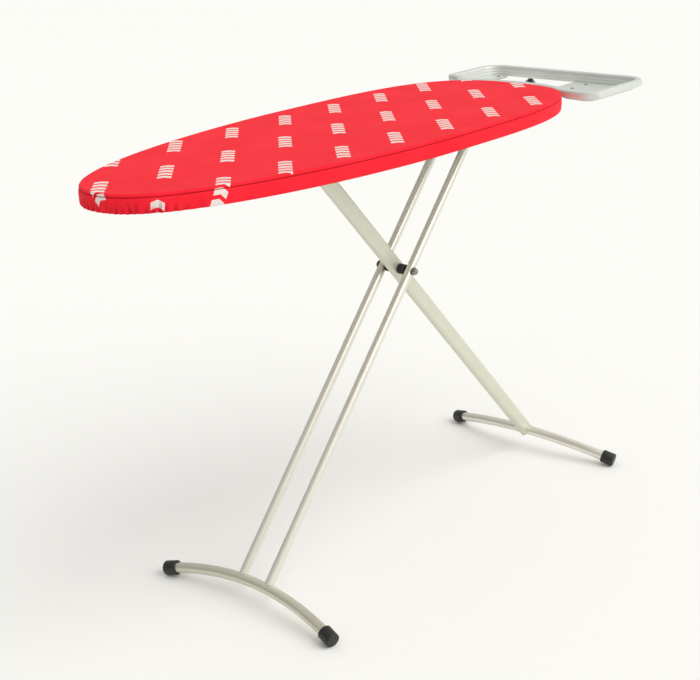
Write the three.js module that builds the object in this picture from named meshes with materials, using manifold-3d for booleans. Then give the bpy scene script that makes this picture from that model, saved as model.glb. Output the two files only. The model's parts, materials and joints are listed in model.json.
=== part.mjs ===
// Folding ironing board: padded deck with a fitted cover, iron rest, and a scissor leg set.
// Millimetres, +Z up. X runs from the nose to the iron rest, Y across the board, floor at z = 0.
// Everything is laid out from the legs' crossing bolt; the finished group is then centred on X.

import * as THREE from "three";
import { mergeVertices } from "three/addons/utils/BufferGeometryUtils.js";
import Module from "manifold-3d";

const wasm = await Module();
wasm.setup();

// ---- Driving dimensions ------------------------------------------------------------------------

const GAP = 0.3;                    // play between pieces that touch
const TOP_Z = 900;                  // ironing surface
const SKIRT_Z = 866;                // lower edge of the cover
const NOSE_X = -756;
const TAIL_X = 429;
const WIDEST_X = -90;
const MAX_HALF_WIDTH = 235;

const CROSSING_Z = 578;             // scissor bolt
const TOP_PIN_Z = 842;              // hinge pin and glides, level with each other
const FOOT_HALF_SPAN = 492;         // crossing to each foot, along X
const FOOT_AXIS_Z = 17.37;          // end caps' centre line

const TUBE_R = 9.5;                 // twin round tubes
const TWIN_Y = 36;
const TUBE_WALL = 1.2;
const OVAL_WIDE = 35;               // single flat-oval tube
const OVAL_THIN = 18;

const FOOT_R = 11;                  // arched foot bars
const FOOT_END_Y = 226;
const FOOT_STAND_Y = 221;           // where the caps stand, out from the centre plane
const FOOT_ARCH = 37;
const CAP_R = 15;
const CAP_LENGTH = 30;
const CAP_COVER = 22;               // how far a cap reaches over its bar

const PIN_R = 4;
const BORE_R = PIN_R + GAP;

const RAIL_START_X = 214;
const RAIL_END_X = 486;
const WEB_END_X = TAIL_X - 26;      // beyond this the rails pass under the hem

const LEVER_X = 138;
const LEVER_Z = 868;
const LEVER_R = 3;

const REST_END_X = 625;
const REST_PLATE_Z = 878.5;
// Each side's half width, front shoulder X, opening's edge and carrying strap's edge.
const REST_SIDES = {
    left: { half: 207, front: 455, open: 142, arm: 144 },
    right: { half: 231, front: 412, open: 46, arm: 80 },
};

// Leg geometry worked out from the above
const LEG_LEAN = Math.atan2(FOOT_HALF_SPAN, CROSSING_Z - FOOT_AXIS_Z);
const UPPER_ARM = (TOP_PIN_Z - CROSSING_Z) / Math.cos(LEG_LEAN);
const LOWER_ARM = (CROSSING_Z - FOOT_AXIS_Z) / Math.cos(LEG_LEAN);
const TOP_PIN_X = UPPER_ARM * Math.sin(LEG_LEAN);

// ---- Materials ---------------------------------------------------------------------------------

const paint = (color, roughness, metalness) => () =>
    new THREE.MeshStandardMaterial({ color, roughness, metalness });
const redCotton = paint(0xf0303c, 0.9, 0);
const feltGrey = paint(0xd8d4cc, 0.95, 0);
const whiteElastic = paint(0xe6e2dc, 0.8, 0);
const greySteel = paint(0xb9bcb8, 0.45, 0.8);
const silverPaint = paint(0xc9c8be, 0.35, 0.7);
const palePaint = paint(0xd9dedb, 0.4, 0.5);
const zincSteel = paint(0xa8aaa8, 0.35, 0.9);
const blackPlastic = paint(0x141414, 0.45, 0);

// ---- Geometry helpers --------------------------------------------------------------------------

function signedVolume(geometry) {
    const position = geometry.getAttribute("position");
    const [a, b, c] = [new THREE.Vector3(), new THREE.Vector3(), new THREE.Vector3()];
    let volume = 0;
    for (let i = 0; i < geometry.index.count; i += 3) {
        a.fromBufferAttribute(position, geometry.index.getX(i));
        b.fromBufferAttribute(position, geometry.index.getX(i + 1));
        c.fromBufferAttribute(position, geometry.index.getX(i + 2));
        volume += a.dot(b.cross(c)) / 6;
    }
    return volume;
}

// Shares the vertices of a closed geometry and turns its faces outwards.
function closed(source) {
    const plain = source.clone();
    plain.deleteAttribute("normal");
    plain.deleteAttribute("uv");
    const merged = mergeVertices(plain, 1e-4);
    const index = [];
    for (let i = 0; i < merged.index.count; i += 3) {
        const face = [0, 1, 2].map((k) => merged.index.getX(i + k));
        if (new Set(face).size === 3) index.push(...face);
    }
    merged.setIndex(index);
    if (signedVolume(merged) < 0) merged.setIndex(index.reverse());
    return merged;
}

function toManifold(source) {
    const geometry = closed(source);
    return new wasm.Manifold(new wasm.Mesh({
        numProp: 3,
        vertProperties: new Float32Array(geometry.getAttribute("position").array),
        triVerts: new Uint32Array(geometry.index.array),
    }));
}

function toGeometry(manifold) {
    const mesh = manifold.getMesh();
    const geometry = new THREE.BufferGeometry();
    geometry.setAttribute("position", new THREE.BufferAttribute(new Float32Array(mesh.vertProperties), 3));
    geometry.setIndex(new THREE.BufferAttribute(new Uint32Array(mesh.triVerts), 1));
    return geometry;
}

function cut(body, ...tools) {
    const rest = tools.reduce((left, tool) => left.subtract(toManifold(tool)), toManifold(body));
    return toGeometry(rest);
}

const shared = (a, b) => toGeometry(toManifold(a).intersect(toManifold(b)));

const moved = (geometry, x, y, z) => geometry.clone().translate(x, y, z);

const mirrored = (geometry) => closed(geometry.clone().scale(1, -1, 1));

// Solid round bar along Y, centred at (x, z).
function barY(radius, y0, y1, x = 0, z = 0, sides = 16) {
    return moved(new THREE.CylinderGeometry(radius, radius, y1 - y0, sides), x, (y0 + y1) / 2, z);
}

// Ring along Y: a washer, bush or roller.
function ringY(outer, inner, y0, y1, sides = 16) {
    const profile = [[inner, y0], [outer, y0], [outer, y1], [inner, y1], [inner, y0]];
    return closed(new THREE.LatheGeometry(profile.map(([r, y]) => new THREE.Vector2(r, y)), sides));
}

const turned = (profile, sides) =>
    closed(new THREE.LatheGeometry(profile.map(([r, y]) => new THREE.Vector2(r, y)), sides));

// Box between two corners.
function block(x0, x1, y0, y1, z0, z1) {
    return moved(new THREE.BoxGeometry(x1 - x0, y1 - y0, z1 - z0), (x0 + x1) / 2, (y0 + y1) / 2, (z0 + z1) / 2);
}

// Moves each point of a closed counter-clockwise outline inwards by a distance.
function inset(outline, distance) {
    return outline.map((point, i) => {
        const before = outline[(i + outline.length - 1) % outline.length];
        const after = outline[(i + 1) % outline.length];
        const into = point.clone().sub(before).normalize();
        const out = after.clone().sub(point).normalize();
        const normal = new THREE.Vector2(-into.y - out.y, into.x + out.x).normalize();
        const stretch = 1 / Math.max(0.4, normal.dot(new THREE.Vector2(-into.y, into.x)));
        return point.clone().addScaledVector(normal, distance * stretch);
    });
}

// Skins a stack of [inset, z] rings of one outline. An open stack is capped at both ends.
function skin(outline, rings, loop = false) {
    const count = outline.length;
    const vertices = [];
    for (const [distance, z] of rings) {
        for (const point of inset(outline, distance)) vertices.push(point.x, point.y, z);
    }
    const index = [];
    const bands = loop ? rings.length : rings.length - 1;
    for (let ring = 0; ring < bands; ring++) {
        const low = ring * count;
        const high = ((ring + 1) % rings.length) * count;
        for (let i = 0; i < count; i++) {
            const j = (i + 1) % count;
            index.push(low + i, low + j, high + j, low + i, high + j, high + i);
        }
    }
    if (!loop) {
        const faces = THREE.ShapeUtils.triangulateShape(inset(outline, rings[0][0]), []);
        const top = (rings.length - 1) * count;
        for (const [a, b, c] of faces) index.push(c, b, a, top + a, top + b, top + c);
    }
    const geometry = new THREE.BufferGeometry();
    geometry.setAttribute("position", new THREE.Float32BufferAttribute(vertices, 3));
    geometry.setIndex(index);
    return closed(geometry);
}

// Flat strap of even thickness along an (x, z) path, between two Y values.
function strap(path, thickness, y0, y1) {
    const points = path.map(([x, z]) => new THREE.Vector2(x, z));
    const side = (sign) => points.map((point, i) => {
        const into = point.clone().sub(points[Math.max(i - 1, 0)]).normalize();
        const out = points[Math.min(i + 1, points.length - 1)].clone().sub(point).normalize();
        const along = into.add(out).normalize();
        const bend = points[Math.max(i, 1)].clone().sub(points[Math.max(i, 1) - 1]).normalize();
        const stretch = sign * thickness / 2 / Math.max(0.5, along.dot(bend));
        return new THREE.Vector2(point.x - along.y * stretch, point.y + along.x * stretch);
    });
    const shape = new THREE.Shape([...side(1), ...side(-1).reverse()]);
    const geometry = new THREE.ExtrudeGeometry(shape, { depth: y1 - y0, bevelEnabled: false });
    return closed(geometry.rotateX(Math.PI / 2).translate(0, y1, 0));
}

// Straight runs joined by round bends, as one path.
function bentPath(points, bend) {
    const path = new THREE.CurvePath();
    let start = points[0];
    for (let i = 1; i < points.length - 1; i++) {
        const corner = points[i];
        const enter = corner.clone().add(points[i - 1].clone().sub(corner).setLength(bend));
        const leave = corner.clone().add(points[i + 1].clone().sub(corner).setLength(bend));
        path.add(new THREE.LineCurve3(start, enter));
        path.add(new THREE.QuadraticBezierCurve3(enter, corner, leave));
        start = leave;
    }
    path.add(new THREE.LineCurve3(start, points[points.length - 1]));
    return path;
}

// Round section swept along a path, hollow when an inner radius is given.
function sweep(path, radius, steps, sides, inner = 0) {
    const circle = (r) => Array.from({ length: sides }, (_, i) => {
        const angle = (i * 2 * Math.PI) / sides;
        return new THREE.Vector2(r * Math.cos(angle), r * Math.sin(angle));
    });
    const shape = new THREE.Shape(circle(radius));
    if (inner > 0) shape.holes.push(new THREE.Path(circle(inner)));
    return closed(new THREE.ExtrudeGeometry(shape, { steps, extrudePath: path, bevelEnabled: false }));
}

const vector = (x, y, z) => new THREE.Vector3(x, y, z);

// Thin wire through a list of points, one ring of vertices at each point.
function wire(points, radius, sides) {
    const vertices = [];
    const index = [];
    const normal = vector(0.31, 0.17, 0.94);
    points.forEach((point, i) => {
        const along = points[Math.min(i + 1, points.length - 1)].clone()
            .sub(points[Math.max(i - 1, 0)]).normalize();
        normal.addScaledVector(along, -normal.dot(along)).normalize();
        const across = along.clone().cross(normal);
        for (let k = 0; k < sides; k++) {
            const angle = (k * 2 * Math.PI) / sides;
            const at = point.clone().addScaledVector(normal, radius * Math.cos(angle))
                .addScaledVector(across, radius * Math.sin(angle));
            vertices.push(at.x, at.y, at.z);
        }
    });
    for (let i = 0; i < points.length - 1; i++) {
        for (let k = 0; k < sides; k++) {
            const [a, b] = [i * sides + k, i * sides + ((k + 1) % sides)];
            index.push(a, b, b + sides, a, b + sides, a + sides);
        }
    }
    const last = (points.length - 1) * sides;
    for (let k = 1; k < sides - 1; k++) {
        index.push(0, k + 1, k, last, last + k, last + k + 1);
    }
    const geometry = new THREE.BufferGeometry();
    geometry.setAttribute("position", new THREE.Float32BufferAttribute(vertices, 3));
    geometry.setIndex(index);
    return closed(geometry);
}

// ---- Assembly tree -----------------------------------------------------------------------------

const board = new THREE.Group();
const nosewardLeg = new THREE.Group();      // twin tubes; its foot stands under the nose
const tailwardLeg = new THREE.Group();      // oval tube; its foot stands under the tail
for (const [leg, side] of [[nosewardLeg, 1], [tailwardLeg, -1]]) {
    leg.position.set(0, 0, CROSSING_Z);
    leg.rotation.y = side * LEG_LEAN;
}

function addPiece(parent, name, geometry, material) {
    const mesh = new THREE.Mesh(closed(geometry), material());
    mesh.name = name;
    parent.add(mesh);
    return mesh;
}

// A piece and its mirror image across the board's centre plane.
function addPair(parent, name, geometry, material) {
    addPiece(parent, `${name}_left`, geometry, material);
    addPiece(parent, `${name}_right`, mirrored(geometry), material);
}

// ---- Deck, pad and cover -----------------------------------------------------------------------

// The half outline is two quarters of superellipses that meet at the widest point.
const NOSE_SHAPE = { tip: NOSE_X, along: 1.8, across: 2.25 };
const TAIL_SHAPE = { tip: TAIL_X, along: 3.5, across: 2.9 };

function outlineEnd({ tip, along, across }, steps) {
    return Array.from({ length: steps }, (_, i) => {
        const angle = (i * Math.PI) / 2 / steps;
        const x = WIDEST_X + (tip - WIDEST_X) * Math.cos(angle) ** (2 / along);
        return new THREE.Vector2(x, MAX_HALF_WIDTH * Math.sin(angle) ** (2 / across));
    });
}

function halfWidthAt(x) {
    const { tip, along, across } = x < WIDEST_X ? NOSE_SHAPE : TAIL_SHAPE;
    return MAX_HALF_WIDTH * (1 - ((x - WIDEST_X) / (tip - WIDEST_X)) ** along) ** (1 / across);
}

function tailEdgeAt(y) {
    const { tip, along, across } = TAIL_SHAPE;
    return WIDEST_X + (tip - WIDEST_X) * (1 - (y / MAX_HALF_WIDTH) ** across) ** (1 / along);
}

// Board outline, counter-clockwise from beside the nose tip.
function boardOutline() {
    const widest = new THREE.Vector2(WIDEST_X, MAX_HALF_WIDTH);
    const tail = outlineEnd(TAIL_SHAPE, 14);
    const far = [...outlineEnd(NOSE_SHAPE, 18), widest, ...tail.slice(1).reverse()];
    const near = far.slice(1).map((p) => new THREE.Vector2(p.x, -p.y));
    return [...near, tail[0], ...far.reverse()];
}

const OUTLINE = boardOutline();
const CLOTH = 1.2;                  // cover thickness
const LIP_INSET = 14;               // the hem tucks in this far below the flange

const DECK_TOP_Z = 891.2;
const DECK_SHEET = 1.2;
const DECK_UNDER_Z = DECK_TOP_Z - DECK_SHEET;
const FLANGE_INSET = 2;
const FLANGE_Z = SKIRT_Z + 2.5;

function coverShell() {
    return skin(OUTLINE, [
        [6.2, TOP_Z - CLOTH], [2.7, 896.6], [CLOTH, 892.6], [CLOTH, SKIRT_Z + CLOTH],
        [LIP_INSET, SKIRT_Z + CLOTH], [LIP_INSET, SKIRT_Z], [1, SKIRT_Z],
        [0, SKIRT_Z + 1], [0, 893], [1.5, 897.4], [5.2, TOP_Z],
    ]);
}

function padSlab() {
    return skin(OUTLINE, [[1.7, DECK_TOP_Z + GAP], [1.7, 892.4], [3.2, 896.2], [6.6, TOP_Z - CLOTH - GAP]]);
}

function hemElastic() {
    const sides = 4;
    const rings = Array.from({ length: sides }, (_, i) => {
        const angle = (i * 2 * Math.PI) / sides;
        return [LIP_INSET + 3 + 1.6 * Math.cos(angle), SKIRT_Z + 1 + 1.6 * Math.sin(angle)];
    });
    return skin(OUTLINE, rings, true);
}

const VENT_R = 9;
const VENT_PITCH_X = 70;
const VENT_PITCH_Y = 62;
const VENT_MARGIN = 32;             // from a vent's centre to the board's edge

// Steam vents: hexagonal holes in staggered rows, clear of the rails and brackets.
function ventHoles() {
    const holes = [];
    for (let row = -3; row <= 3; row++) {
        const y = row * VENT_PITCH_Y;
        const start = NOSE_X + 130 + (row % 2 ? VENT_PITCH_X / 2 : 0);
        for (let x = start; x < TAIL_X - 60; x += VENT_PITCH_X) {
            const clearOfRim = Math.abs(y) < halfWidthAt(x) - VENT_MARGIN;
            const clearOfGear = Math.abs(y) > 90 || x < -300 || (x > -150 && x < 90);
            if (clearOfRim && clearOfGear) {
                const hole = new THREE.CylinderGeometry(VENT_R, VENT_R, 10, 6).rotateX(Math.PI / 2);
                holes.push(moved(hole, x, y, DECK_TOP_Z));
            }
        }
    }
    return holes;
}

function deckPan() {
    const inner = FLANGE_INSET + DECK_SHEET;
    const pan = skin(OUTLINE, [
        [inner + 1.2, DECK_UNDER_Z], [inner, DECK_UNDER_Z - 1.2], [inner, FLANGE_Z],
        [FLANGE_INSET, FLANGE_Z], [FLANGE_INSET, DECK_UNDER_Z], [inner, DECK_TOP_Z],
    ]);
    return cut(pan, ...ventHoles());
}

function addTop() {
    addPiece(board, "cover", coverShell(), redCotton);
    addPiece(board, "pad", padSlab(), feltGrey);
    addPiece(board, "hem_elastic", hemElastic(), whiteElastic);
    addPiece(board, "deck", deckPan(), greySteel);
}

// ---- Fittings under the deck -------------------------------------------------------------------

const UNDER_Z = DECK_UNDER_Z - GAP;         // where welded fittings meet the deck
const GLIDE_R = 8.2;
const GLIDE_Y = [52.5, 60.5];

// Channel that guides one glide; open towards the legs, with a foot welded to the deck.
function glideRail() {
    const sheet = 1.5;
    const web = 61.5;
    const low = TOP_PIN_Z - GLIDE_R - GAP;
    const high = TOP_PIN_Z + GLIDE_R + GAP;
    const shape = new THREE.Shape([
        [52, low - sheet], [web + sheet, low - sheet], [web + sheet, UNDER_Z - sheet],
        [76, UNDER_Z - sheet], [76, UNDER_Z], [web, UNDER_Z],
        [web, high + sheet], [52, high + sheet], [52, high], [web, high], [web, low], [52, low],
    ].map(([y, z]) => new THREE.Vector2(y, z)));
    const length = RAIL_END_X - RAIL_START_X;
    const rail = new THREE.ExtrudeGeometry(shape, { depth: length, bevelEnabled: false });
    // The extrusion's x, y, z become the board's y, z, x.
    const turn = new THREE.Matrix4().makeBasis(vector(0, 1, 0), vector(0, 0, 1), vector(1, 0, 0));
    rail.applyMatrix4(turn).translate(RAIL_START_X, 0, 0);
    // The web stops short of the tail; the channel runs on below the hem.
    return cut(rail, block(WEB_END_X, RAIL_END_X + 1, 40, 90, high + sheet + 2, UNDER_Z + 2));
}

// Inverted U that carries the oval leg's hinge pin.
function hingeBracket() {
    const [x0, x1] = [-TOP_PIN_X - 28, -TOP_PIN_X + 28];
    const low = TOP_PIN_Z - 11;
    const outside = block(x0, x1, -15, 15, low, UNDER_Z);
    const inside = block(x0 - 1, x1 + 1, -13, 13, low - 1, UNDER_Z - 2);
    return cut(outside, inside, barY(BORE_R, -20, 20, -TOP_PIN_X, TOP_PIN_Z));
}

// Pin with a flat head at each end.
function headedPin(halfLength, headR) {
    return turned([
        [0, -halfLength - 2.5], [headR, -halfLength - 2.5], [headR, -halfLength], [PIN_R, -halfLength],
        [PIN_R, halfLength], [headR, halfLength], [headR, halfLength + 2.5], [0, halfLength + 2.5],
    ], 16);
}

// Angle tab with a hole for the lever shaft.
function leverBracket() {
    const tab = block(LEVER_X - 12, LEVER_X + 12, 56, 57.5, LEVER_Z - 8, UNDER_Z);
    const foot = block(LEVER_X - 12, LEVER_X + 12, 57, 68, UNDER_Z - 1.5, UNDER_Z);
    const angle = toGeometry(toManifold(tab).add(toManifold(foot)));
    return cut(angle, barY(LEVER_R + GAP, 50, 60, LEVER_X, LEVER_Z));
}

function addUnderFittings() {
    addPair(board, "glide_rail", glideRail(), zincSteel);
    addPiece(board, "hinge_bracket", hingeBracket(), zincSteel);
    addPiece(board, "hinge_pin", moved(headedPin(15 + GAP, 6), -TOP_PIN_X, 0, TOP_PIN_Z), zincSteel);
    addPair(board, "lever_bracket", leverBracket(), zincSteel);
}

// ---- Iron rest ---------------------------------------------------------------------------------

const REST_CORNER_R = 52;
const REST_FRONT_X = TAIL_X + 3.5;
const RIM_WIDTH = 21.5;
const PLATE_SHEET = 1.5;
const ARM_SHEET = 2.5;
const ARM_WIDTH = 20;

// One half of the rest's outline: round back corner, cut-off shoulder, front along the board's tail.
function restHalf({ half, front }) {
    const point = (x, y) => new THREE.Vector2(x, y);
    const centre = point(REST_END_X - REST_CORNER_R, half - REST_CORNER_R);
    const arc = Array.from({ length: 7 }, (_, i) => {
        const angle = (i * Math.PI) / 12;
        return point(centre.x + REST_CORNER_R * Math.cos(angle), centre.y + REST_CORNER_R * Math.sin(angle));
    });
    const shoulder = [point(front, half), point(front - 15, half - 15), point(front - 21, half - 39)];
    const alongTail = [138, 108, 68].map((y) => point(tailEdgeAt(y) + 3.5, y));
    return [...arc, ...shoulder, ...alongTail];
}

function restOutline(left, right) {
    const near = restHalf(right).map((p) => new THREE.Vector2(p.x, -p.y)).reverse();
    return [...near, ...restHalf(left), new THREE.Vector2(REST_FRONT_X, 0)];
}

const REST = restOutline(REST_SIDES.left, REST_SIDES.right);

// Rolled sheet rim: an inverted channel with a stepped inner wall.
function restRim() {
    return skin(REST, [
        [0, 886], [0, 894], [1.8, 898], [6, TOP_Z], [12, TOP_Z], [16, 898.4],
        [17.5, 894.5], [17.5, 890.5], [19.5, 889], [19.5, 884.5], [RIM_WIDTH, 883], [RIM_WIDTH, 877],
        [20, 877], [20, 882.2], [18, 883.7], [18, 888.2], [16, 889.7],
        [16, 894], [14.8, 897], [11.5, 898.5], [6.6, 898.5], [3, 897], [1.5, 893.5], [1.5, 886],
    ], true);
}

const RIVET_X = [468, 524, 580];
const RIVET_R = 2;
const RIVET_HEAD_R = 4;

// Upright holes for one side's row of rivets.
function rivetHoles(arm, radius) {
    const hole = new THREE.CylinderGeometry(radius, radius, 30, 10).rotateX(Math.PI / 2);
    return RIVET_X.map((x) => moved(hole, x, arm + ARM_WIDTH / 2, REST_PLATE_Z));
}

// Plate from the opening's edge out to the rim; the rivet heads stand up through its holes.
function restPlate(side) {
    const inset = RIM_WIDTH + GAP;
    const slab = skin(restOutline(side, side), [[inset, REST_PLATE_Z - PLATE_SHEET], [inset, REST_PLATE_Z]]);
    const half = shared(slab, block(0, REST_END_X, side.open, side.half, 800, 950));
    return cut(half, ...rivetHoles(side.arm, RIVET_HEAD_R + GAP));
}

// Strap that carries a plate: welded under the deck, dips below the skirt, runs to the rest's back.
function restArm({ arm }) {
    const [inner, outer] = [arm, arm + ARM_WIDTH];
    const run = REST_PLATE_Z - PLATE_SHEET - GAP - ARM_SHEET / 2;
    const deckRun = UNDER_Z - ARM_SHEET / 2;
    const dip = SKIRT_Z - 3.6;
    const enter = tailEdgeAt(outer);
    const leave = tailEdgeAt(inner);
    const path = [
        [enter - 104, deckRun], [enter - 64, deckRun], [enter - 35, dip], [leave + 6, dip],
        [leave + 26, run], [REST_END_X - RIM_WIDTH - 1.5, run],
    ];
    return cut(strap(path, ARM_SHEET, inner, outer), ...rivetHoles(arm, RIVET_R + GAP));
}

// Shouldered rivet: its head rests on the arm and fills the plate's hole.
function rivet() {
    const armTop = REST_PLATE_Z - PLATE_SHEET;
    const armUnder = armTop - ARM_SHEET - 2 * GAP;
    return turned([
        [0, armUnder - 1], [3.4, armUnder - 1], [3.4, armUnder], [RIVET_R, armUnder],
        [RIVET_R, armTop], [RIVET_HEAD_R, armTop], [RIVET_HEAD_R, REST_PLATE_Z + 0.8],
        [3.2, REST_PLATE_Z + 1.6], [0, REST_PLATE_Z + 1.9],
    ], 10).rotateX(Math.PI / 2);
}

function addIronRest() {
    addPiece(board, "rest_rim", restRim(), palePaint);
    for (const [side, places] of Object.entries(REST_SIDES)) {
        const place = side === "left" ? closed : mirrored;
        addPiece(board, `rest_plate_${side}`, place(restPlate(places)), palePaint);
        addPiece(board, `rest_arm_${side}`, place(restArm(places)), zincSteel);
        RIVET_X.forEach((x, i) => {
            const pin = place(moved(rivet(), x, places.arm + ARM_WIDTH / 2, 0));
            addPiece(board, `rest_rivet_${i + 1}_${side}`, pin, zincSteel);
        });
    }
}

// ---- Legs --------------------------------------------------------------------------------------

// Foot bar centre line in a leg's own frame: a parabola whose ends drop towards the floor.
const FOOT_CREST = -LOWER_ARM + FOOT_ARCH;
const FOOT_END_Z = FOOT_CREST - FOOT_ARCH * (FOOT_END_Y / FOOT_STAND_Y) ** 2;

function footCurve() {
    const control = 2 * FOOT_CREST - FOOT_END_Z;
    return new THREE.QuadraticBezierCurve3(
        vector(0, -FOOT_END_Y, FOOT_END_Z), vector(0, 0, control), vector(0, FOOT_END_Y, FOOT_END_Z));
}

const footBar = () => sweep(footCurve(), FOOT_R, 14, 14, FOOT_R - TUBE_WALL);

// Saddle cutter: the bar with a little play, to shape the tubes that stand on it.
const footSaddle = () => sweep(footCurve(), FOOT_R + GAP, 14, 14);

// Socket cap for a bar end, turned about Y with its closed face outwards.
function endCap() {
    const bore = FOOT_R + 2 * GAP;          // the bar is slightly curved inside it
    const inside = CAP_LENGTH - CAP_COVER;
    const cap = turned([
        [0, 0], [CAP_R - 1.5, 0], [CAP_R, -1.5], [CAP_R, -CAP_LENGTH + 1], [CAP_R - 1, -CAP_LENGTH],
        [bore, -CAP_LENGTH], [bore, -inside], [0, -inside],
    ], 20);
    const tangent = footCurve().getTangent(1);
    cap.translate(0, inside + GAP, 0);
    cap.rotateX(Math.atan2(tangent.z, tangent.y));
    return moved(cap, 0, FOOT_END_Y, FOOT_END_Z);
}

function addFoot(leg, name) {
    addPiece(leg, `${name}_bar`, footBar(), silverPaint);
    addPair(leg, `${name}_cap`, endCap(), blackPlastic);
}

// Round tube of the twin leg, drilled for the axle and the scissor bolt.
function twinTube() {
    const top = UPPER_ARM + 12;
    const length = top - FOOT_CREST;
    const shape = new THREE.Shape().absarc(0, 0, TUBE_R, 0, 2 * Math.PI);
    shape.holes.push(new THREE.Path().absarc(0, 0, TUBE_R - TUBE_WALL, 0, 2 * Math.PI, true));
    const tube = new THREE.ExtrudeGeometry(shape, { depth: length, bevelEnabled: false, curveSegments: 16 });
    return cut(
        tube.translate(0, TWIN_Y, FOOT_CREST), footSaddle(),
        barY(BORE_R, 20, 60, 0, UPPER_ARM), barY(BORE_R, 20, 60));
}

// Axle with an inner head; the glide sits on its outer end.
function glideAxle() {
    const head = TWIN_Y - TUBE_R - GAP;
    return moved(turned([
        [0, head - 2.5], [6, head - 2.5], [6, head], [PIN_R, head], [PIN_R, GLIDE_Y[1] + 0.5], [0, GLIDE_Y[1] + 0.5],
    ], 16), 0, 0, UPPER_ARM);
}

function tubePlug(outerR, top) {
    return turned([[0, 0], [outerR - TUBE_WALL - GAP, 0], [outerR - TUBE_WALL - GAP, 5.5],
        [outerR, 5.5], [outerR, 7], [outerR - 2.5, 8.5], [0, 8.5]], 20)
        .rotateX(Math.PI / 2).translate(0, TWIN_Y, top - 5.2);
}

function addTwinLeg() {
    addPair(nosewardLeg, "twin_tube", twinTube(), silverPaint);
    addPair(nosewardLeg, "glide_axle", glideAxle(), zincSteel);
    addPair(nosewardLeg, "glide", moved(ringY(GLIDE_R, BORE_R, ...GLIDE_Y, 20), 0, 0, UPPER_ARM), blackPlastic);
    addPair(nosewardLeg, "twin_plug", tubePlug(TUBE_R, UPPER_ARM + 12), blackPlastic);
    addFoot(nosewardLeg, "nose_foot");
}

// Flat-oval section: two half circles joined by straight sides.
function ovalShape(wide, thin) {
    const r = thin / 2;
    const reach = wide / 2 - r;
    return new THREE.Shape()
        .absarc(reach, 0, r, -Math.PI / 2, Math.PI / 2)
        .absarc(-reach, 0, r, Math.PI / 2, 1.5 * Math.PI);
}

function ovalSolid(wide, thin, z0, z1) {
    const settings = { depth: z1 - z0, bevelEnabled: false, curveSegments: 10 };
    return closed(new THREE.ExtrudeGeometry(ovalShape(wide, thin), settings).translate(0, 0, z0));
}

const OVAL_TOP = UPPER_ARM + 20;

function ovalTube() {
    const wall = 2 * 1.5;
    const outer = ovalSolid(OVAL_WIDE, OVAL_THIN, FOOT_CREST, OVAL_TOP);
    const inner = ovalSolid(OVAL_WIDE - wall, OVAL_THIN - wall, FOOT_CREST - 10, OVAL_TOP + 10);
    return cut(outer, inner, footSaddle(), barY(BORE_R, -20, 20), barY(BORE_R, -20, 20, 0, UPPER_ARM));
}

function ovalPlug() {
    const play = 3 + 2 * GAP;
    const stem = ovalSolid(OVAL_WIDE - play, OVAL_THIN - play, OVAL_TOP - 8, OVAL_TOP + 1);
    const head = ovalSolid(OVAL_WIDE, OVAL_THIN, OVAL_TOP + GAP, OVAL_TOP + 3);
    return toGeometry(toManifold(stem).add(toManifold(head)));
}

function addOvalLeg() {
    addPiece(tailwardLeg, "oval_tube", ovalTube(), silverPaint);
    addPiece(tailwardLeg, "oval_plug", ovalPlug(), blackPlastic);
    const bush = ringY(9, BORE_R, OVAL_THIN / 2 + GAP, 13 - GAP);
    addPair(tailwardLeg, "hinge_bush", moved(bush, 0, 0, UPPER_ARM), blackPlastic);
    addFoot(tailwardLeg, "tail_foot");
}

// ---- Scissor bolt ------------------------------------------------------------------------------

const SPACER_Y = [OVAL_THIN / 2 + GAP, TWIN_Y - TUBE_R - GAP];
const WASHER_Y = [TWIN_Y + TUBE_R + GAP, TWIN_Y + TUBE_R + 1.5];
const NUT_Y = WASHER_Y[1] + GAP;
const BOLT_END_Y = NUT_Y + 5;

// Spacer with three ribs round its barrel.
function ribbedSpacer() {
    const [y0, y1] = SPACER_Y;
    const ribs = 3;
    const pitch = (y1 - y0) / ribs;
    const profile = [[BORE_R, y0]];
    for (let i = 0; i < ribs; i++) {
        const start = y0 + i * pitch;
        profile.push([11, start], [11, start + pitch * 0.6], [9.2, start + pitch * 0.7], [9.2, start + pitch]);
    }
    profile.push([BORE_R, y1], [BORE_R, y0]);
    return turned(profile, 14);
}

function scissorBolt() {
    const head = -WASHER_Y[1] - GAP;
    return turned([
        [0, head - 5], [4, head - 4.4], [6.6, head - 2], [7, head], [PIN_R, head], [PIN_R, BOLT_END_Y], [0, BOLT_END_Y],
    ], 18);
}

function domeNut() {
    return turned([
        [BORE_R, NUT_Y], [7, NUT_Y], [7, NUT_Y + 4.5], [5.8, NUT_Y + 7], [3.2, NUT_Y + 9], [0, NUT_Y + 9.6],
        [0, BOLT_END_Y + GAP], [BORE_R, BOLT_END_Y + GAP], [BORE_R, NUT_Y],
    ], 18);
}

function addScissorBolt() {
    addPair(tailwardLeg, "spacer", ribbedSpacer(), blackPlastic);
    addPiece(tailwardLeg, "scissor_bolt", mirrored(scissorBolt()), zincSteel);
    addPiece(tailwardLeg, "scissor_nut", mirrored(domeNut()), zincSteel);
    addPair(tailwardLeg, "bolt_washer", ringY(9, BORE_R, ...WASHER_Y), zincSteel);
}

// ---- Release lever -----------------------------------------------------------------------------

const LEVER_STRANDS_Y = [70, 94];
const LEVER_END_X = 560;
const LEVER_END_Z = 880;
const LEVER_SIDESTEP = -34;         // the loop ends nearer the middle of the opening
const LEVER_WIRE_R = 2.5;

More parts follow.
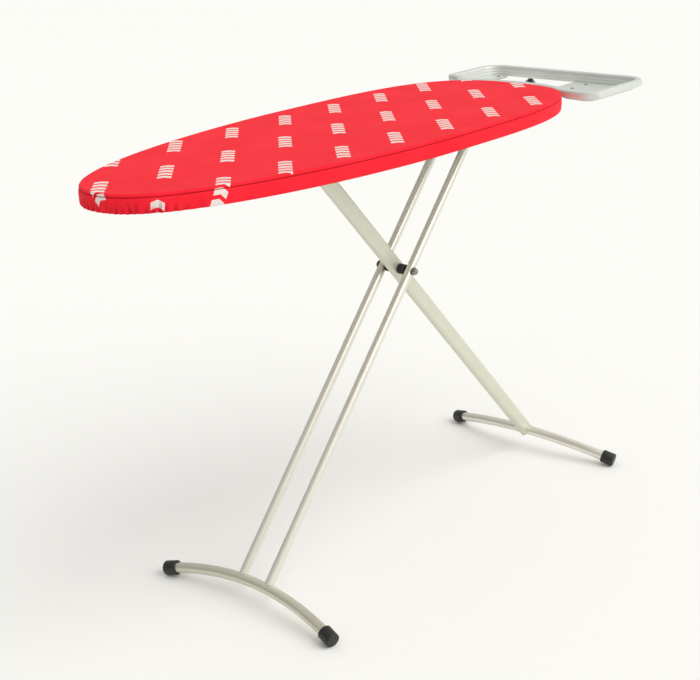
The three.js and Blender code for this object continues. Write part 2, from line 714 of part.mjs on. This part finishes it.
// Hairpin wire from the shaft, under the tail, up into the rest's opening.
function leverWire() {
    const [y0, y1] = LEVER_STRANDS_Y;
    const strand = (y) => [
        vector(LEVER_X + LEVER_R + LEVER_WIRE_R + GAP, y, LEVER_Z - 1),
        vector(RAIL_END_X + 8, y, TOP_PIN_Z - 20),
        vector(LEVER_END_X - 12, y + LEVER_SIDESTEP, TOP_PIN_Z + 2),
        vector(LEVER_END_X, y + LEVER_SIDESTEP, LEVER_END_Z),
    ];
    const [near, far] = [strand(y0), strand(y1)];
    return wire(bentPath([...near, ...far.reverse()], 7).getPoints(5), LEVER_WIRE_R, 8);
}

function leverGrip() {
    const [y0, y1] = LEVER_STRANDS_Y.map((y) => y + LEVER_SIDESTEP);
    const sleeve = ringY(5.5, LEVER_WIRE_R + GAP + 0.2, y0 + 7.5, y1 - 7.5, 14);
    return moved(sleeve, LEVER_END_X, 0, LEVER_END_Z);
}

// Pawl plate: reaches from the shaft over the glide's axle to a tooth behind it.
function pawl() {
    const axleX = TOP_PIN_X;
    const clear = TOP_PIN_Z + PIN_R + 0.5;
    const outline = [
        [LEVER_X - 7, LEVER_Z - 5], [LEVER_X + 8, LEVER_Z - 6], [axleX - 10, clear + 8], [axleX + PIN_R + 1, clear + 8],
        [axleX + PIN_R + 1.5, clear], [axleX + 14, clear], [axleX + 16, clear + 18], [LEVER_X + 4, LEVER_Z + 6],
        [LEVER_X - 6, LEVER_Z + 6],
    ];
    const shape = new THREE.Shape(outline.map(([x, z]) => new THREE.Vector2(x, z)));
    const plate = new THREE.ExtrudeGeometry(shape, { depth: 3, bevelEnabled: false });
    plate.rotateX(Math.PI / 2).translate(0, 49.8, 0);
    return cut(plate, barY(LEVER_R + GAP, 40, 55, LEVER_X, LEVER_Z));
}

// Torsion spring round the shaft, with one arm up to the deck and one along the wire.
function leverSpring() {
    const radius = 5.4;
    const turns = 4;
    const steps = turns * 12;
    const points = [vector(LEVER_X - radius, 59.2, UNDER_Z - 2.5)];
    for (let i = 0; i <= steps; i++) {
        const angle = Math.PI + (i * 2 * Math.PI * (turns + 0.5)) / (turns * 12);
        points.push(vector(
            LEVER_X + radius * Math.cos(angle), 59.2 + (6 * i) / steps, LEVER_Z - radius * Math.sin(angle)));
    }
    points.push(vector(LEVER_X + radius, 65.2, LEVER_Z + 12));
    return wire(points, 0.6, 5);
}

function addReleaseLever() {
    addPiece(board, "lever_shaft", barY(LEVER_R, -60, 98, LEVER_X, LEVER_Z), zincSteel);
    addPiece(board, "lever_wire", leverWire(), zincSteel);
    addPiece(board, "lever_grip", leverGrip(), blackPlastic);
    addPair(board, "pawl", pawl(), zincSteel);
    addPiece(board, "lever_spring", leverSpring(), zincSteel);
}

// ---- The whole object --------------------------------------------------------------------------

addTop();
addUnderFittings();
addIronRest();
addTwinLeg();
addOvalLeg();
addScissorBolt();
addReleaseLever();

const group = new THREE.Group();
group.add(board, nosewardLeg, tailwardLeg);
group.updateMatrixWorld(true);
const extent = new THREE.Box3().setFromObject(group, true);
group.position.set(-(extent.min.x + extent.max.x) / 2, 0, -extent.min.z);
group.updateMatrixWorld(true);

export default group;
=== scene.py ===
"""Ironing board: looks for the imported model. Metres, in the model's own frame."""

import json
import math
import random

import bmesh
import bpy
import numpy as np
from mathutils import Matrix, Vector, noise


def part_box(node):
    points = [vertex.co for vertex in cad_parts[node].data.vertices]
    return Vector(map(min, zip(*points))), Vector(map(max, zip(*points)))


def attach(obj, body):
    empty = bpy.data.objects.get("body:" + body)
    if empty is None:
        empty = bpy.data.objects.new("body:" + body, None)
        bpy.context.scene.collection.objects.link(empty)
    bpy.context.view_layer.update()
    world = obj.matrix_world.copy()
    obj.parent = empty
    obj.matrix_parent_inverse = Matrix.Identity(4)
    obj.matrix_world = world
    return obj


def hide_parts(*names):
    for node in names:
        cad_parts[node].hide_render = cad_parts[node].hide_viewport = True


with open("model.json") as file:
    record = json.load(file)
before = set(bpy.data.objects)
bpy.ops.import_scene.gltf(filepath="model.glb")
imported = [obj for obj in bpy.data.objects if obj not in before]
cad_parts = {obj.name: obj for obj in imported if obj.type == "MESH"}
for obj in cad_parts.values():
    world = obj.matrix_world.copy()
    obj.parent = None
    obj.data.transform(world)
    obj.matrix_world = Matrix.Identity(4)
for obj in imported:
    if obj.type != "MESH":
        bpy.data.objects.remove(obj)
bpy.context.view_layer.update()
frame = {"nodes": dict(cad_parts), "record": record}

MM = 0.001
COVER_LO, COVER_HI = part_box("cover")
BOLT_LO, BOLT_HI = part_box("scissor_bolt")
CROSSING_X = (BOLT_LO.x + BOLT_HI.x) / 2

# ---- Camera, light and floor -------------------------------------------------------------------

CAMERA_PLACE = (CROSSING_X - 2.1283, -1.8152, 1.4269)
CAMERA_HEADING = 0.8443             # radians from +Y towards +X
CAMERA_DOWN = 0.3429
CAMERA_ROLL = -0.0428
SENSOR_WIDTH = 36
LENS = 71.877
LENS_SHIFT = (-0.0314, -0.0053)

SUN_FROM = (0.30, -1.0, 1.1)
SUN_STRENGTH = 1.5
SUN_SPREAD = 60                     # degrees
SKY_BRIGHTEST = (0.42, -0.50, 0.76)
FLOOR_HALF = 30


def make_camera():
    """From beyond the nose on the near side, a little above the board."""
    data = bpy.data.cameras.new("camera")
    camera = bpy.data.objects.new("camera", data)
    bpy.context.scene.collection.objects.link(camera)
    level_part = math.cos(CAMERA_DOWN)
    forward = Vector((
        math.sin(CAMERA_HEADING) * level_part, math.cos(CAMERA_HEADING) * level_part, -math.sin(CAMERA_DOWN)))
    camera.location = CAMERA_PLACE
    level = forward.to_track_quat("-Z", "Y")
    camera.rotation_mode = "QUATERNION"
    camera.rotation_quaternion = level @ Matrix.Rotation(CAMERA_ROLL, 3, "Z").to_quaternion()
    data.sensor_width = SENSOR_WIDTH
    data.lens = LENS
    data.shift_x, data.shift_y = LENS_SHIFT
    data.clip_end = 200
    bpy.context.scene.camera = camera


def make_sun():
    """Very broad key light, as from a large window far away."""
    light = bpy.data.lights.new("key", "SUN")
    light.energy = SUN_STRENGTH
    light.angle = math.radians(SUN_SPREAD)
    light.color = (1, 0.99, 0.96)
    lamp = bpy.data.objects.new("key", light)
    lamp.rotation_euler = Vector(SUN_FROM).to_track_quat("Z", "Y").to_euler()
    bpy.context.scene.collection.objects.link(lamp)


def make_sky(world):
    """Bright overhead and on the near side, dimmer towards the nose, so metal shows its form."""
    world.use_nodes = True
    tree = world.node_tree
    direction = node(tree, "ShaderNodeTexCoord").outputs["Generated"]
    facing = vector_maths(tree, "DOT_PRODUCT", direction, SKY_BRIGHTEST).outputs["Value"]
    glow = node(tree, "ShaderNodeMapRange", {
        "Value": facing, "From Min": -0.9, "From Max": 0.9, "To Min": 0.18, "To Max": 0.87})
    background = tree.nodes["Background"]
    background.inputs["Color"].default_value = (1.0, 0.995, 0.97, 1)
    tree.links.new(glow.outputs[0], background.inputs["Strength"])


def make_floor():
    mesh = bpy.data.meshes.new("floor")
    corners = [(x * FLOOR_HALF, y * FLOOR_HALF, 0) for x, y in ((-1, -1), (1, -1), (1, 1), (-1, 1))]
    mesh.from_pydata(corners, [], [(0, 1, 2, 3)])
    floor = bpy.data.objects.new("floor", mesh)
    bpy.context.scene.collection.objects.link(floor)
    material, shader = new_material("floor_white")
    shader.inputs["Base Color"].default_value = (0.93, 0.93, 0.915, 1)
    shader.inputs["Roughness"].default_value = 0.9
    shader.inputs["Specular IOR Level"].default_value = 0.1
    mesh.materials.append(material)


def make_studio():
    scene = bpy.context.scene
    scene.view_settings.view_transform = "Standard"
    world = bpy.data.worlds.new("studio")
    make_sky(world)
    scene.world = world
    make_sun()
    make_floor()


# ---- Material helpers --------------------------------------------------------------------------


def new_material(name):
    material = bpy.data.materials.new(name)
    material.use_nodes = True
    return material, material.node_tree.nodes["Principled BSDF"]


def node(tree, kind, values=None, **settings):
    """One shader node; values maps input names or numbers to constants or to sockets."""
    made = tree.nodes.new(kind)
    for key, value in settings.items():
        setattr(made, key, value)
    for key, value in (values or {}).items():
        if isinstance(value, bpy.types.NodeSocket):
            tree.links.new(value, made.inputs[key])
        else:
            made.inputs[key].default_value = value
    return made


def maths(tree, operation, a, b=0.0):
    return node(tree, "ShaderNodeMath", {0: a, 1: b}, operation=operation).outputs[0]


def vector_maths(tree, operation, a, b):
    return node(tree, "ShaderNodeVectorMath", {0: a, 1: b}, operation=operation)


def mix(tree, factor, a, b):
    """Colour a where factor is 0 and b where it is 1; each a constant or a socket."""
    made = node(tree, "ShaderNodeMix", {"Factor": factor}, data_type="RGBA")
    for socket, value in ((made.inputs[6], a), (made.inputs[7], b)):
        if isinstance(value, bpy.types.NodeSocket):
            tree.links.new(value, socket)
        else:
            socket.default_value = (*value, 1)
    return made.outputs[2]


def ramp(tree, value, low, high):
    """0 below low, 1 above high, smooth between."""
    made = node(tree, "ShaderNodeMapRange", {"Value": value, "From Min": low, "From Max": high})
    made.interpolation_type = "SMOOTHSTEP"
    return made.outputs[0]


def noise_at(tree, place, scale, detail=3.0, roughness=0.5):
    return node(tree, "ShaderNodeTexNoise", {
        "Vector": place, "Scale": scale, "Detail": detail, "Roughness": roughness}).outputs["Fac"]


def bump(tree, height, distance, strength=1.0, under=None):
    values = {"Height": height, "Distance": distance, "Strength": strength}
    if under is not None:
        values["Normal"] = under
    return node(tree, "ShaderNodeBump", values).outputs[0]


def cloth_mark(tree, name, output):
    """A value that the cloth's mesh carries at each vertex."""
    return node(tree, "ShaderNodeAttribute", attribute_name=name).outputs[output]


def stretched_place(tree, place, scale):
    return vector_maths(tree, "MULTIPLY", place, scale).outputs[0]


def object_place(tree):
    return node(tree, "ShaderNodeTexCoord").outputs["Object"]


# ---- Materials ---------------------------------------------------------------------------------

# The print's grid on the cloth: one motif at the start, repeated by two steps.
PRINT_START = (CROSSING_X - 0.577, 0.165)
PRINT_STEP_ALONG = (0.144, -0.003)
PRINT_STEP_ACROSS = (0.010, 0.153)
CHEVRONS = 5
CHEVRON_PITCH = 0.0205
CHEVRON_BAR = 0.0066                # half thickness
CHEVRON_HALF_WIDTH = 0.0125
CHEVRON_SWEEP = 0.45                # how far the arms fall back, per unit of width
PRINT_EDGE = 0.0006
THREAD_PITCH = 0.0011

CLOTH_REDS = ((0.90, 0.012, 0.028), (0.96, 0.019, 0.037), (1.0, 0.045, 0.065))
# Painted shade: the dark red laid along the crease at the sewn edge.
SEAM_CREASE_SHADE_RED = (0.36, 0.0, 0.010)
# Painted shade: the dark red laid in the valleys of the gathers.
FOLD_SHADE_RED = (0.34, 0.0, 0.010)
INK = (0.86, 0.80, 0.75)
SEAM_RUN = 0.0085                   # from the top's edge down to the sewn edge
SEAM_SHADE_HALF = 0.0022


def print_mask(tree, place):
    """White where a short diagonal row of chevrons is printed."""
    (ax, ay), (cx, cy) = PRINT_STEP_ALONG, PRINT_STEP_ACROSS
    area = ax * cy - ay * cx
    from_start = vector_maths(tree, "SUBTRACT", place, (*PRINT_START, 0)).outputs[0]
    steps = []
    for weights in ((cy / area, -cx / area, 0), (-ay / area, ax / area, 0)):
        count = vector_maths(tree, "DOT_PRODUCT", from_start, weights).outputs["Value"]
        steps.append(wrap(tree, count, 1.0))
    diagonal = math.sqrt(0.5)
    along = weighted(tree, steps, ((ax + ay) * diagonal, (cx + cy) * diagonal))
    across = weighted(tree, steps, ((ay - ax) * diagonal, (cy - cx) * diagonal))
    reach = maths(tree, "ABSOLUTE", across)
    swept = maths(tree, "ADD", along, maths(tree, "MULTIPLY", reach, CHEVRON_SWEEP))
    row = maths(tree, "LESS_THAN", maths(tree, "ABSOLUTE", swept), CHEVRONS * CHEVRON_PITCH / 2)
    bar = maths(tree, "ABSOLUTE", wrap(tree, swept, CHEVRON_PITCH))
    inked = maths(tree, "MULTIPLY", below(tree, bar, CHEVRON_BAR), below(tree, reach, CHEVRON_HALF_WIDTH))
    return maths(tree, "MULTIPLY", inked, row)


def wrap(tree, value, pitch):
    """The value brought into half a pitch either side of zero."""
    made = node(tree, "ShaderNodeMath", {0: value, 1: pitch / 2, 2: -pitch / 2}, operation="WRAP")
    return made.outputs[0]


def weighted(tree, values, weights):
    """The sum of two values, each times its weight."""
    parts = [maths(tree, "MULTIPLY", value, weight) for value, weight in zip(values, weights)]
    return maths(tree, "ADD", *parts)


def below(tree, value, limit):
    """1 below the limit with a soft printed edge."""
    return maths(tree, "SUBTRACT", 1.0, ramp(tree, value, limit - PRINT_EDGE, limit))


def weave(tree, place, pitch):
    """Height of a plain weave: two crossed sets of threads."""
    scaled = stretched_place(tree, place, (1 / pitch, 1 / pitch, 0))
    split = node(tree, "ShaderNodeSeparateXYZ", {0: scaled})
    waves = [maths(tree, "SINE", maths(tree, "MULTIPLY", split.outputs[i], math.tau)) for i in (0, 1)]
    crossed = maths(tree, "MULTIPLY", waves[0], waves[1])
    ridges = maths(tree, "MAXIMUM", waves[0], waves[1])
    return maths(tree, "ADD", crossed, maths(tree, "MULTIPLY", ridges, 0.5))


def red_cotton():
    material, shader = new_material("red_cotton")
    tree = material.node_tree
    place = cloth_mark(tree, "cloth", "Vector")
    thread = noise_at(tree, stretched_place(tree, place, (260, 1500, 1)), 1, 2)
    tree.links.new(cotton_colour(tree, place, thread), shader.inputs["Base Color"])
    shader.inputs["Roughness"].default_value = 0.85
    shader.inputs["Specular IOR Level"].default_value = 0.12
    shader.inputs["Sheen Weight"].default_value = 0.07
    shader.inputs["Sheen Roughness"].default_value = 0.35
    threads = bump(tree, weave(tree, place, THREAD_PITCH), 0.00018, 0.6)
    slack = stretched_place(tree, place, (6, 40, 1))
    creased = bump(tree, noise_at(tree, slack, 1, 4, 0.6), 0.003, 0.6, threads)
    tree.links.new(creased, shader.inputs["Normal"])
    return material


def cotton_colour(tree, place, thread):
    """Two close reds and lighter threads, the print, then painted shade along the crease at the sewn edge and
    in the folds.
    """
    dull, clear, light = CLOTH_REDS
    red = mix(tree, ramp(tree, noise_at(tree, place, 9, 2), 0.3, 0.7), dull, clear)
    red = mix(tree, maths(tree, "MULTIPLY", ramp(tree, thread, 0.3, 0.75), 0.25), red, light)
    cover_up = maths(tree, "ADD", 0.86, maths(tree, "MULTIPLY", thread, 0.14))
    color = mix(tree, maths(tree, "MULTIPLY", print_mask(tree, place), cover_up), red, INK)
    # Painted shade: a dark red line along the crease at the sewn edge.
    run = cloth_mark(tree, "run", "Fac")
    from_seam = maths(tree, "ABSOLUTE", maths(tree, "SUBTRACT", run, SEAM_RUN))
    shadow = maths(tree, "SUBTRACT", 1.0, ramp(tree, from_seam, 0.0, SEAM_SHADE_HALF))
    color = mix(tree, maths(tree, "MULTIPLY", shadow, 0.85), color, SEAM_CREASE_SHADE_RED)
    # Painted shade in the valleys of the gathers, darker the deeper the fold.
    fold_shade = cloth_mark(tree, "fold_shade", "Fac")
    return mix(tree, maths(tree, "MULTIPLY", fold_shade, 0.8), color, FOLD_SHADE_RED)


def grey_felt():
    material, shader = new_material("needle_felt")
    tree = material.node_tree
    place = object_place(tree)
    fibres = noise_at(tree, place, 420, 6, 0.7)
    color = mix(tree, fibres, (0.55, 0.53, 0.5), (0.78, 0.76, 0.72))
    tree.links.new(color, shader.inputs["Base Color"])
    shader.inputs["Roughness"].default_value = 0.95
    tree.links.new(bump(tree, fibres, 0.0006), shader.inputs["Normal"])
    return material


def braided_cord():
    material, shader = new_material("braided_elastic")
    tree = material.node_tree
    place = cloth_mark(tree, "cloth", "Vector")
    split = node(tree, "ShaderNodeSeparateXYZ", {0: place})
    along = maths(tree, "MULTIPLY", split.outputs[0], 2600)
    around = maths(tree, "MULTIPLY", split.outputs[1], 2)
    one = maths(tree, "SINE", maths(tree, "ADD", along, around))
    two = maths(tree, "SINE", maths(tree, "SUBTRACT", along, around))
    braid = maths(tree, "MAXIMUM", one, two)
    color = mix(tree, ramp(tree, braid, -0.6, 1), (0.55, 0.53, 0.5), (0.86, 0.84, 0.8))
    tree.links.new(color, shader.inputs["Base Color"])
    shader.inputs["Roughness"].default_value = 0.8
    tree.links.new(bump(tree, braid, 0.0004), shader.inputs["Normal"])
    return material


def metal(name, color, dark, metallic, roughness, grain, scuffs):
    """Painted or plated metal: fine grain, faint orange peel, light scuffs."""
    material, shader = new_material(name)
    tree = material.node_tree
    place = object_place(tree)
    fine = noise_at(tree, stretched_place(tree, place, grain), 1, 3, 0.6)
    patches = ramp(tree, noise_at(tree, place, 14, 5, 0.65), 0.5, 0.8)
    tone = mix(tree, maths(tree, "MULTIPLY", patches, scuffs), color, dark)
    tone = mix(tree, maths(tree, "MULTIPLY", fine, 0.18), tone, dark)
    tree.links.new(tone, shader.inputs["Base Color"])
    shader.inputs["Metallic"].default_value = metallic
    uneven = maths(tree, "MULTIPLY", maths(tree, "ADD", fine, patches), 0.07)
    tree.links.new(maths(tree, "ADD", roughness, uneven), shader.inputs["Roughness"])
    peel = bump(tree, noise_at(tree, place, 700, 2), 0.00004, 0.1)
    tree.links.new(bump(tree, fine, 0.00004, 0.15, peel), shader.inputs["Normal"])
    return material


def black_plastic():
    material, shader = new_material("black_plastic")
    tree = material.node_tree
    place = object_place(tree)
    grain = noise_at(tree, place, 1600, 3, 0.6)
    dust = ramp(tree, noise_at(tree, place, 60, 4, 0.7), 0.5, 0.85)
    dusty = maths(tree, "MULTIPLY", dust, 0.35)
    color = mix(tree, dusty, (0.012, 0.012, 0.012), (0.04, 0.04, 0.038))
    tree.links.new(color, shader.inputs["Base Color"])
    rough = maths(tree, "ADD", 0.34, maths(tree, "MULTIPLY", grain, 0.16))
    tree.links.new(rough, shader.inputs["Roughness"])
    tree.links.new(bump(tree, grain, 0.00015, 0.5), shader.inputs["Normal"])
    return material


# ---- Soft parts --------------------------------------------------------------------------------

# The outline's two superellipse ends: exponents along and across the board.
WIDEST_X = CROSSING_X - 0.090
NOSE_POWERS = (1.8, 2.25)
TAIL_POWERS = (3.5, 2.9)
SPINE = (COVER_LO.x + 0.10, COVER_HI.x - 0.17)


def outline_end(tip, powers):
    along, across = powers
    angle = np.linspace(0, math.pi / 2, 400)
    x = WIDEST_X + (tip - WIDEST_X) * np.cos(angle) ** (2 / along)
    return np.column_stack([x, COVER_HI.y * np.sin(angle) ** (2 / across)])


def board_outline(count):
    """The board's outline as count evenly spaced points, counter-clockwise, with normals and run."""
    far = np.vstack([outline_end(COVER_LO.x, NOSE_POWERS), outline_end(COVER_HI.x, TAIL_POWERS)[-2::-1]])
    loop = np.vstack([far * (1, -1), far[-2::-1]])
    length = np.concatenate([[0], np.cumsum(np.hypot(*np.diff(loop, axis=0).T))])
    at = np.linspace(0, length[-1], count, endpoint=False)
    points = np.column_stack([np.interp(at, length, loop[:, i]) for i in (0, 1)])
    tangent = np.roll(points, -1, 0) - np.roll(points, 1, 0)
    tangent /= np.hypot(*tangent.T)[:, None]
    return points, np.column_stack([tangent[:, 1], -tangent[:, 0]]), at


def spine_of(points):
    """For each outline point, the point of the board's middle line that it is drawn in to."""
    return np.column_stack([np.clip(points[:, 0], *SPINE), np.zeros(len(points))])


def level_row(xy, z):
    return np.column_stack([xy, np.broadcast_to(z, len(xy))])


def ring_mesh(name, rings, cloth, marks=None, closed_loop=False):
    """Mesh from rings of equal length; cloth holds each vertex's place on the flat cloth."""
    rows, count = rings.shape[:2]
    faces = []
    for r in range(rows if closed_loop else rows - 1):
        s = (r + 1) % rows
        for i in range(count):
            j = (i + 1) % count
            faces.append((r * count + i, r * count + j, s * count + j, s * count + i))
    mesh = bpy.data.meshes.new(name)
    mesh.from_pydata(rings.reshape(-1, 3).tolist(), [], faces)
    place = mesh.attributes.new("cloth", "FLOAT_VECTOR", "POINT")
    place.data.foreach_set("vector", cloth.reshape(-1).astype(np.float32))
    for mark, values in (marks or {}).items():
        attribute = mesh.attributes.new(mark, "FLOAT", "POINT")
        attribute.data.foreach_set("value", values.astype(np.float32))
    edit = bmesh.new()
    edit.from_mesh(mesh)
    bmesh.ops.remove_doubles(edit, verts=edit.verts, dist=0.01 * MM)
    bmesh.ops.recalc_face_normals(edit, faces=edit.faces)
    edit.to_mesh(mesh)
    edit.free()
    mesh.shade_smooth()
    piece = bpy.data.objects.new(name, mesh)
    bpy.context.scene.collection.objects.link(piece)
    return piece


COVER_COUNT = 1800
COVER_TOP_ROWS = 43
CLOTH_THICKNESS = 0.6 * MM
GATHER_FROM = 6 * MM                # run past the top's edge where the gathers begin
GATHER_OVER = 34 * MM

# The cover's edge and skirt: inset from the outline and drop below the top, in millimetres.
EDGE_AND_SKIRT = [
    (5.2, 0.1), (4.2, 0.3), (3.2, 0.6), (2.3, 1.2), (1.5, 2.2), (1.0, 3.4), (1.0, 4.6), (1.5, 5.6),
    (1.6, 6.4), (0.9, 7.3), (0.2, 8.6), (-0.1, 10.1), (-0.2, 12.0), (-0.2, 13.9), (-0.2, 16.5),
    (-0.1, 19.1), (0.0, 21.6), (0.2, 24.2), (0.4, 26.8), (0.7, 29.4),
]
# The hem's turn and channel: inset from the outline and height over the cover's underside.
HEM = [
    (1.2, 2.6), (2.2, 0.9), (4.2, 0.2), (7.2, 0.0), (10.5, 0.0), (13.5, -0.4), (16.5, -0.8), (19.2, 0.0),
    (20.4, 1.8), (19.2, 3.4), (16.4, 3.6), (13.6, 3.0),
]


def pleats(at, points, rng):
    """Gathers in the skirt: dense and deep where the edge turns sharply, faint elsewhere."""
    made = []
    place = 0.0
    while place < at[-1]:
        x, y = (np.interp(place, at, points[:, i]) for i in (0, 1))
        near_nose = min(1.0, max(0.0, 1.5 - (x - COVER_LO.x) / 0.10))
        at_corner = max(0.0, 1 - math.hypot(x - (COVER_HI.x - 0.04), abs(y) - 0.14) / 0.12)
        strength = max(near_nose, 0.5 * at_corner, 0.05)
        made.append({
            "place": place,
            "deep": strength * rng.uniform(2.4, 4.6) * MM,
            "wide": rng.uniform(2.4, 4.4) * MM * (1.7 - 0.7 * strength),
            "start": rng.uniform(0.0, 0.5) if strength > 0.3 else rng.uniform(0.4, 0.8),
            "lean": rng.uniform(-9, 9) * MM * strength,
        })
        place += rng.uniform(9, 17) * MM / max(strength, 0.12)
    return made


def cover_profile():
    """Inset from the outline and height, from the top's edge down and in to the hem's end."""
    edge = [(inset * MM, COVER_HI.z - drop * MM) for inset, drop in EDGE_AND_SKIRT]
    hem = [(inset * MM, COVER_LO.z + rise * MM) for inset, rise in HEM]
    return edge + hem


def cover_rings():
    """The cover's rings from its middle line out, with their cloth places, runs and the fold depths that set
    painted shade in the folds.
    """
    points, normals, at = board_outline(COVER_COUNT)
    profile = cover_profile()
    edge = points - normals * profile[0][0]
    spine = spine_of(points)
    rows, flats, runs, fold_shades = [], [], [], []

    def add_row(row, flat, run, fold_shade):
        rows.append(row)
        flats.append(level_row(flat, 0.0))
        runs.append(run)
        fold_shades.append(np.broadcast_to(fold_shade, COVER_COUNT))

    for share in np.linspace(0, 1, COVER_TOP_ROWS + 1)[:-1]:
        xy = spine + (edge - spine) * share
        ripple = np.array([top_ripple(x, y) for x, y in xy])
        z = COVER_HI.z - 0.1 * MM + ripple * min(1, (1 - share) * 8)
        add_row(level_row(xy, z), xy, -0.1, 0.0)
    gathers = pleats(at, points, random.Random(7))
    run = 0.0
    before = profile[0]
    for inset, height in profile:
        run += math.hypot(inset - before[0], height - before[1])
        before = (inset, height)
        depth = min(1.0, max(0.0, (run - GATHER_FROM) / GATHER_OVER))
        out, fold_shade = gather_offset(at, gathers, depth)
        add_row(level_row(points + normals * (out - inset)[:, None], height), edge + normals * run, run, fold_shade)
    marks = {"run": np.repeat(runs, COVER_COUNT), "fold_shade": np.array(fold_shades).reshape(-1)}
    return np.array(rows), np.array(flats), marks


def make_cover():
    cover = ring_mesh("cotton_cover", *cover_rings())
    solid = cover.modifiers.new("cloth_thickness", "SOLIDIFY")
    solid.thickness = CLOTH_THICKNESS
    solid.offset = -1
    cover.data.materials.append(red_cotton())
    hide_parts("cover")
    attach(cover, "board")


def top_ripple(x, y):
    """Shallow lengthwise slack in the top, strongest towards the nose."""
    towards_nose = max(0.0, min(1.0, (0.1 - x) / 0.5))
    ridge = noise.noise(Vector((x * 2.2, y * 26 + x * 3, 0.4)))
    return 0.0009 * (0.35 + towards_nose) * ridge - 0.0004


def gather_offset(at, gathers, depth):
    """Outward offset of the skirt and depth of its folds, 0 at the top edge and 1 at the hem; the fold depth
    sets painted shade in the fold valleys.
    """
    valley = np.zeros(len(at))
    puff = np.zeros(len(at))
    total = at[-1] + at[1]
    for g in gathers:
        fade = min(1.0, max(0.0, (depth - g["start"]) / (1 - g["start"])))
        gap = (at - g["place"] - g["lean"] * (1 - depth) + total / 2) % total - total / 2
        valley = np.maximum(valley, g["deep"] * fade * np.exp(-(gap / g["wide"]) ** 2))
        puff = np.maximum(puff, 0.75 * g["deep"] * fade * np.exp(-(gap / (4.5 * g["wide"])) ** 2))
    return np.maximum(puff - valley, -0.9 * MM), np.clip(valley / (3 * MM), 0, 1)


PAD_COUNT = 420
PAD_MARGIN = 12 * MM                # the flat top and underside stop this far in
# The pad's side: inset from the outline and drop below its top, in millimetres.
PAD_SIDE = [(3.0, 3.7), (4.0, 1.9), (6.8, 0.6), (12, 0.1)]


def make_pad():
    lo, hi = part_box("pad")
    points, normals, _ = board_outline(PAD_COUNT)
    spine = spine_of(points)
    flat_part = points - normals * PAD_MARGIN - spine
    side = [(3.0 * MM, lo.z), (2.7 * MM, lo.z + 1.5 * MM)]
    side += [(inset * MM, hi.z - drop * MM) for inset, drop in PAD_SIDE]
    rows = [level_row(spine + flat_part * share, lo.z) for share in (0, 0.5, 0.9)]
    rows += [level_row(points - normals * inset, height) for inset, height in side]
    for share in (0.9, 0.7, 0.5, 0.3, 0):
        xy = spine + flat_part * share
        lumps = np.array([noise.noise(Vector((x * 30, y * 30, 2))) for x, y in xy])
        rows.append(level_row(xy, hi.z + 0.3 * MM * (lumps - 1)))
    rows = np.array(rows)
    pad = ring_mesh("felt_pad", rows, rows)
    pad.data.materials.append(grey_felt())
    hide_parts("pad")
    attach(pad, "board")


CORD_COUNT = 600
CORD_SIDES = 10
CORD_RADIUS = 1.5 * MM
CORD_INSET = 17 * MM


def make_elastic():
    """Braided cord in the hem channel."""
    lo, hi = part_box("hem_elastic")
    points, normals, at = board_outline(CORD_COUNT)
    middle = (lo.z + hi.z) / 2
    rows, cloth = [], []
    for k in range(CORD_SIDES):
        angle = math.tau * k / CORD_SIDES
        xy = points - normals * (CORD_INSET + CORD_RADIUS * math.cos(angle))
        rows.append(level_row(xy, middle + CORD_RADIUS * math.sin(angle)))
        cloth.append(np.column_stack([at, np.full(CORD_COUNT, angle), np.zeros(CORD_COUNT)]))
    cord = ring_mesh("hem_cord", np.array(rows), np.array(cloth), closed_loop=True)
    cord.data.materials.append(braided_cord())
    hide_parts("hem_elastic")
    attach(cord, "board")


# ---- CAD parts: finish and soft edges ----------------------------------------------------------


CREASE_ANGLE = math.radians(35)
BEVELS = {"black_plastic": 0.4 * MM, "zinc": 0.25 * MM}


def smooth_edges(piece, bevel):
    """Shares the split vertices, rounds the edges a little and shades the round faces smooth."""
    piece.data.shade_smooth()
    weld = piece.modifiers.new("weld", "WELD")
    weld.merge_threshold = 0.01 * MM
    if bevel:
        rounded = piece.modifiers.new("edges", "BEVEL")
        rounded.width = bevel
        rounded.segments = 2
        rounded.limit_method = "ANGLE"
        rounded.angle_limit = CREASE_ANGLE
        rounded.use_clamp_overlap = True
    split = piece.modifiers.new("creases", "EDGE_SPLIT")
    split.split_angle = CREASE_ANGLE


def cad_materials():
    """The material of each slot, and of the single nodes that differ from their slot."""
    by_slot = {
        "leg_paint": metal(
            "silver_tube", (0.84, 0.82, 0.73), (0.64, 0.62, 0.54), 0.85, 0.26, (60, 60, 60), 0.12),
        "rest_paint": metal(
            "pale_rest_paint", (0.74, 0.77, 0.74), (0.58, 0.59, 0.54), 0.6, 0.42, (50, 50, 50), 0.15),
        "zinc": metal(
            "zinc_plate", (0.30, 0.30, 0.28), (0.18, 0.17, 0.16), 0.95, 0.30, (200, 60, 60), 0.5),
        "deck_steel": metal(
            "deck_paint", (0.52, 0.53, 0.50), (0.38, 0.39, 0.36), 0.4, 0.45, (40, 40, 40), 0.3),
        "black_plastic": black_plastic(),
    }
    by_node = {
        "oval_tube": metal(
            "silver_oval", (0.69, 0.70, 0.58), (0.55, 0.555, 0.46), 0.55, 0.42, (30, 300, 30), 0.2),
        # The nose foot bar takes a darker copy of the tube silver: painted shade for the nose end, which
        # stands out of the light.
        "nose_foot_bar": metal(
            "silver_foot_shaded", (0.68, 0.67, 0.55), (0.52, 0.50, 0.41), 0.8, 0.32, (60, 60, 60), 0.15),
    }
    return by_slot, by_node


def finish_cad():
    by_slot, by_node = cad_materials()
    for part in frame["record"]["subparts"]:
        name, slot = part["node"], part["material_slot"]
        if slot not in by_slot:
            continue
        piece = frame["nodes"][name]
        piece.data.materials.clear()
        piece.data.materials.append(by_node.get(name, by_slot[slot]))
        smooth_edges(piece, BEVELS.get(slot, 0.0))


make_camera()
make_studio()
make_cover()
make_pad()
make_elastic()
finish_cad()
